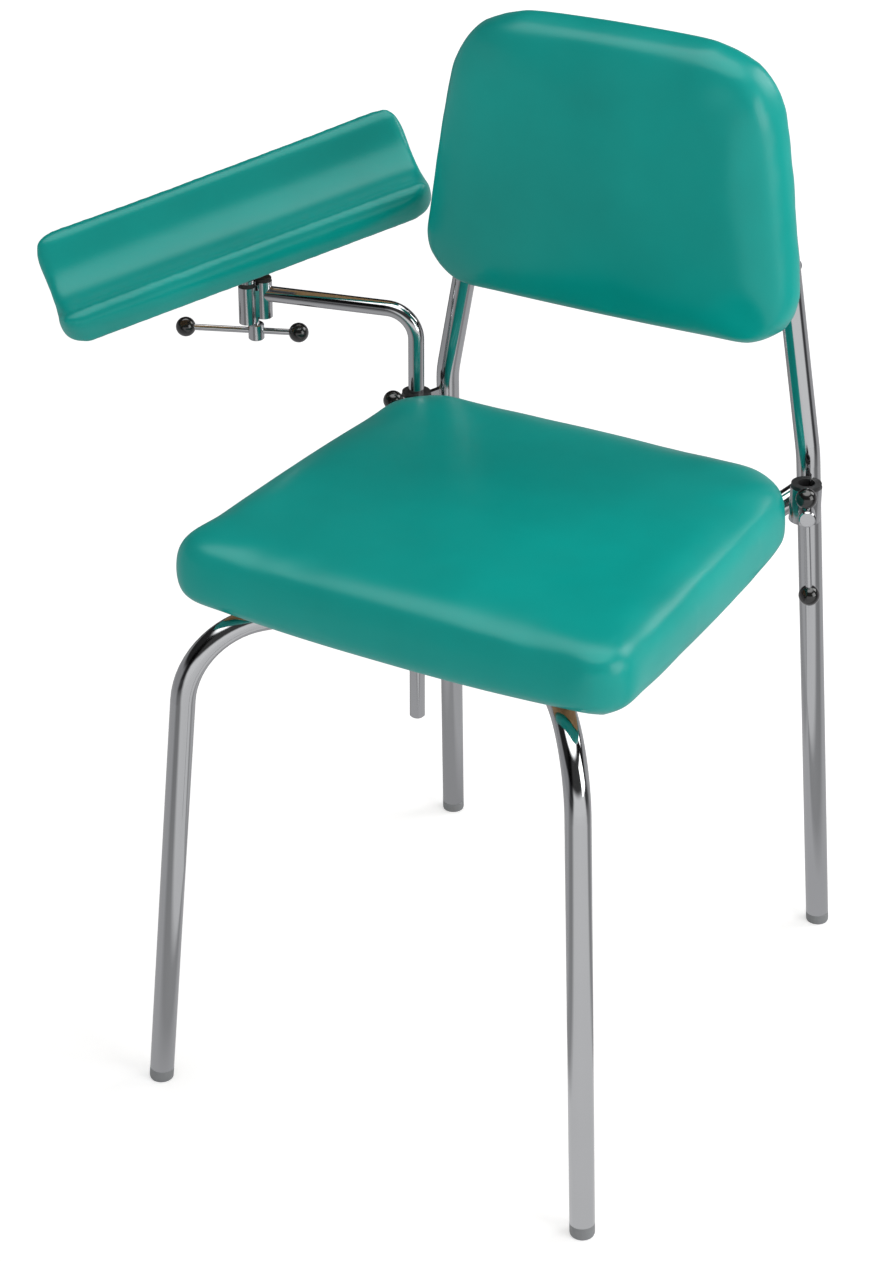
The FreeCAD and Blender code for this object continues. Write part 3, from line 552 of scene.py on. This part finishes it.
class CHAIR_OT_back_pad(bpy.types.Operator):
    """Makes the back cushion"""
    bl_idname = "chair.back_pad"
    bl_label = "Back pad"

    def execute(self, context):
        pads = context.scene.chair_pads
        low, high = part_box("back_board")
        face = low.y - HELD_REACH
        piece = stuff("back_cushion", "back_pad", pads.seat_voxel, pads.start_inset,
                      pads.swell_cap, lambda p: p.y > face and abs(p.x) < high.x + HELD_REACH
                      and low.z - HELD_REACH < p.z < high.z + HELD_REACH)
        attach(piece, "frame")
        return {"FINISHED"}


class CHAIR_OT_arm_pad(bpy.types.Operator):
    """Makes the padded trough"""
    bl_idname = "chair.arm_pad"
    bl_label = "Arm pad"

    def execute(self, context):
        pads = context.scene.chair_pads
        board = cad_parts["tray_board"].data
        places = [v.co for v in board.vertices]
        middle = sum(places, Vector()) / len(places)
        along, across, up = board_axes("tray_board")
        reach = [max(abs((p - middle).dot(axis)) for p in places) + HELD_REACH
                 for axis in (along, across, up)]

        def held(p):
            d = p - middle
            return (abs(d.dot(along)) < reach[0] and abs(d.dot(across)) < reach[1]
                    and d.dot(up) < reach[2])

        piece = stuff("tray_cushion", "arm_pad", pads.arm_voxel, pads.start_inset / 2,
                      pads.arm_swell_cap, held)
        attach(piece, "trough")
        return {"FINISHED"}


class CHAIR_OT_stage(bpy.types.Operator):
    """Sets up the floor, lamps and camera"""
    bl_idname = "chair.stage"
    bl_label = "Studio"

    def execute(self, context):
        studio = context.scene.chair_studio
        make_floor(studio)
        make_surround(studio)
        make_lamps(studio)
        make_camera(studio)
        return {"FINISHED"}


def make_floor(studio):
    """A wide pale sheet, which glows for the chrome with a painted reflection of grey and the
    room.
    """
    span = studio.floor_reach
    build = bmesh.new()
    corners = [build.verts.new((x * span, y * span, 0)) for x, y in
               ((-1, -1), (1, -1), (1, 1), (-1, 1))]
    build.faces.new(corners)
    mesh = bpy.data.meshes.new("studio_floor")
    build.to_mesh(mesh)
    build.free()
    floor = new_object("studio_floor", mesh)
    material = bpy.data.materials.new("studio_paper")
    material.use_nodes = True
    tree = material.node_tree
    tree.nodes.clear()
    paper = add(tree, "ShaderNodeBsdfDiffuse", {"Color": linear(studio.floor_hex)})
    ray = add(tree, "ShaderNodeLightPath")
    place = add(tree, "ShaderNodeTexCoord").outputs["Object"]
    away = add(tree, "ShaderNodeVectorMath", links={0: place}, operation="LENGTH")
    # To the eye the sheet stays white out to the horizon, where the lamps don't reach
    rise = add(tree, "ShaderNodeMapRange",
               {"From Min": 1.5, "From Max": 5.0, "To Min": 0.42, "To Max": 0.8},
               {"Value": away.outputs["Value"]})
    glow = add(tree, "ShaderNodeEmission", {"Color": (1, 1, 1, 1)},
               {"Strength": rise.outputs["Result"]})
    both = add(tree, "ShaderNodeAddShader", links={0: paper.outputs[0], 1: glow.outputs[0]})
    # To the chrome the sheet is a glowing painted reflection in place of its lit colour: even
    # grey at its feet, taking up the room further out
    far = add(tree, "ShaderNodeMapRange",
              {"From Min": 0.3, "From Max": 2.2, "To Min": 0.42, "To Max": 0.95},
              {"Value": away.outputs["Value"]})
    tone = add(tree, "ShaderNodeMixRGB", {"Color1": linear("CECECF")},
               {"Fac": far.outputs["Result"], "Color2": room_round(tree, place)})
    painted_reflection = add(tree, "ShaderNodeEmission", links={"Color": tone.outputs["Color"]})
    camera = add(tree, "ShaderNodeMixShader",
                 links={0: ray.outputs["Is Camera Ray"], 1: paper.outputs[0],
                        2: both.outputs[0]})
    mix = add(tree, "ShaderNodeMixShader",
              links={0: ray.outputs["Is Glossy Ray"], 1: camera.outputs[0],
                     2: painted_reflection.outputs[0]})
    add(tree, "ShaderNodeOutputMaterial", links={"Surface": mix.outputs[0]})
    mesh.materials.append(material)


def room_round(tree, direction):
    """Brightness of the room by compass angle: dark walls with white screens between them."""
    turn = add(tree, "ShaderNodeTexGradient", links={"Vector": direction},
               gradient_type="RADIAL")
    ramp = add(tree, "ShaderNodeValToRGB", links={"Fac": turn.outputs["Fac"]})
    stops = ramp.color_ramp.elements
    while len(stops) > 1:
        stops.remove(stops[-1])
    # Angle in degrees and shade
    walls = ((-180, "A0A0A2"), (-130, "A0A0A2"), (-116, "303032"), (-98, "303032"),
             (-84, "F2F2F2"), (-2, "F2F2F2"), (10, "3A3A3C"), (28, "3A3A3C"),
             (42, "B4B4B6"), (104, "B4B4B6"), (122, "606062"), (150, "606062"),
             (165, "A0A0A2"))
    for i, (angle, shade) in enumerate(walls):
        stop = stops.new((angle + 180) / 360) if i else stops[0]
        stop.position = (angle + 180) / 360
        stop.color = linear(shade)
    return ramp.outputs["Color"]


def make_surround(studio):
    """White to the eye, soft light on the chair, and a room with a softbox in the gloss."""
    world = bpy.data.worlds.new("studio_room")
    bpy.context.scene.world = world
    world.use_nodes = True
    tree = world.node_tree
    tree.nodes.clear()
    ray = add(tree, "ShaderNodeLightPath")
    look = add(tree, "ShaderNodeTexCoord").outputs["Generated"]
    height = add(tree, "ShaderNodeSeparateXYZ", links={0: look}).outputs["Z"]
    low = add(tree, "ShaderNodeMapRange",
              {"From Min": 0.10, "From Max": 0.30, "To Min": 1.0, "To Max": 0.06},
              {"Value": height}, interpolation_type="SMOOTHSTEP")
    walls = add(tree, "ShaderNodeMixRGB", {"Fac": 1.0},
                {"Color1": room_round(tree, look), "Color2": low.outputs["Result"]},
                blend_type="MULTIPLY")
    lid = add(tree, "ShaderNodeMapRange",
              {"From Min": 0.76, "From Max": 0.90, "To Min": 0.0, "To Max": studio.softbox},
              {"Value": height}, interpolation_type="SMOOTHSTEP")
    room = add(tree, "ShaderNodeMixRGB", {"Fac": 1.0},
               {"Color1": walls.outputs["Color"], "Color2": lid.outputs["Result"]},
               blend_type="ADD")
    gloss = add(tree, "ShaderNodeBackground", links={"Color": room.outputs["Color"]})
    soft = add(tree, "ShaderNodeBackground", {"Color": (1, 1, 1, 1),
                                              "Strength": studio.ambient})
    white = add(tree, "ShaderNodeBackground", {"Color": (1, 1, 1, 1), "Strength": 1.0})
    seen = add(tree, "ShaderNodeMixShader",
               links={0: ray.outputs["Is Camera Ray"], 1: soft.outputs[0],
                      2: white.outputs[0]})
    mix = add(tree, "ShaderNodeMixShader",
              links={0: ray.outputs["Is Glossy Ray"], 1: seen.outputs[0],
                     2: gloss.outputs[0]})
    add(tree, "ShaderNodeOutputWorld", links={"Surface": mix.outputs[0]})


def make_lamps(studio):
    """A large soft key on the right and one behind, which draw the edge highlights."""
    middle = (cad_box[0] + cad_box[1]) / 2
    for name, place, width, power in (
            ("key_lamp", studio.key_place, studio.key_size, studio.key_power),
            ("back_lamp", studio.back_place, studio.back_size, studio.back_power)):
        lamp = bpy.data.lights.new(name, "AREA")
        lamp.shape = "SQUARE"
        lamp.size = width
        lamp.energy = power
        holder = bpy.data.objects.new(name, lamp)
        holder.location = place
        aim = middle - Vector(place)
        holder.rotation_euler = aim.to_track_quat("-Z", "Y").to_euler()
        bpy.context.scene.collection.objects.link(holder)


def make_camera(studio):
    """The camera at the photograph's place and angle."""
    lens = bpy.data.cameras.new("view_camera")
    lens.sensor_width = 36
    lens.lens = studio.lens
    lens.shift_y = studio.shift_y
    lens.clip_end = 100
    camera = bpy.data.objects.new("view_camera", lens)
    camera.location = studio.camera_place
    camera.rotation_euler = (studio.camera_rise, 0, studio.camera_turn)
    bpy.context.scene.collection.objects.link(camera)
    bpy.context.scene.camera = camera
    bpy.context.scene.view_settings.view_transform = "Standard"


class CHAIR_PT_panel(bpy.types.Panel):
    """Lists the chair's sizes and pieces"""
    bl_idname = "CHAIR_PT_panel"
    bl_label = "Phlebotomy chair"
    bl_space_type = "VIEW_3D"
    bl_region_type = "UI"
    bl_category = "Chair"

    def draw(self, context):
        for group in GROUPS:
            owner = getattr(context.scene, group)
            box = self.layout.box()
            for name in owner.__annotations__:
                box.prop(owner, name)
        for operator in OPERATORS:
            self.layout.operator(operator.bl_idname)


GROUPS = {"chair_finish": ChairFinish, "chair_pads": ChairPads, "chair_studio": ChairStudio}
OPERATORS = [CHAIR_OT_chrome, CHAIR_OT_small_metal, CHAIR_OT_plastics, CHAIR_OT_boards,
             CHAIR_OT_seat_pad, CHAIR_OT_back_pad, CHAIR_OT_arm_pad, CHAIR_OT_stage]


def register():
    for name, group in GROUPS.items():
        bpy.utils.register_class(group)
        setattr(bpy.types.Scene, name, bpy.props.PointerProperty(type=group))
    for operator in OPERATORS:
        bpy.utils.register_class(operator)
    bpy.utils.register_class(CHAIR_PT_panel)


def unregister():
    bpy.utils.unregister_class(CHAIR_PT_panel)
    for operator in reversed(OPERATORS):
        bpy.utils.unregister_class(operator)
    for name, group in GROUPS.items():
        delattr(bpy.types.Scene, name)
        bpy.utils.unregister_class(group)


def main():
    register()
    bpy.ops.chair.chrome()
    bpy.ops.chair.small_metal()
    bpy.ops.chair.plastics()
    bpy.ops.chair.boards()
    bpy.ops.chair.seat_pad()
    bpy.ops.chair.back_pad()
    bpy.ops.chair.arm_pad()
    bpy.ops.chair.stage()


if __name__ == "__main__":
    main()
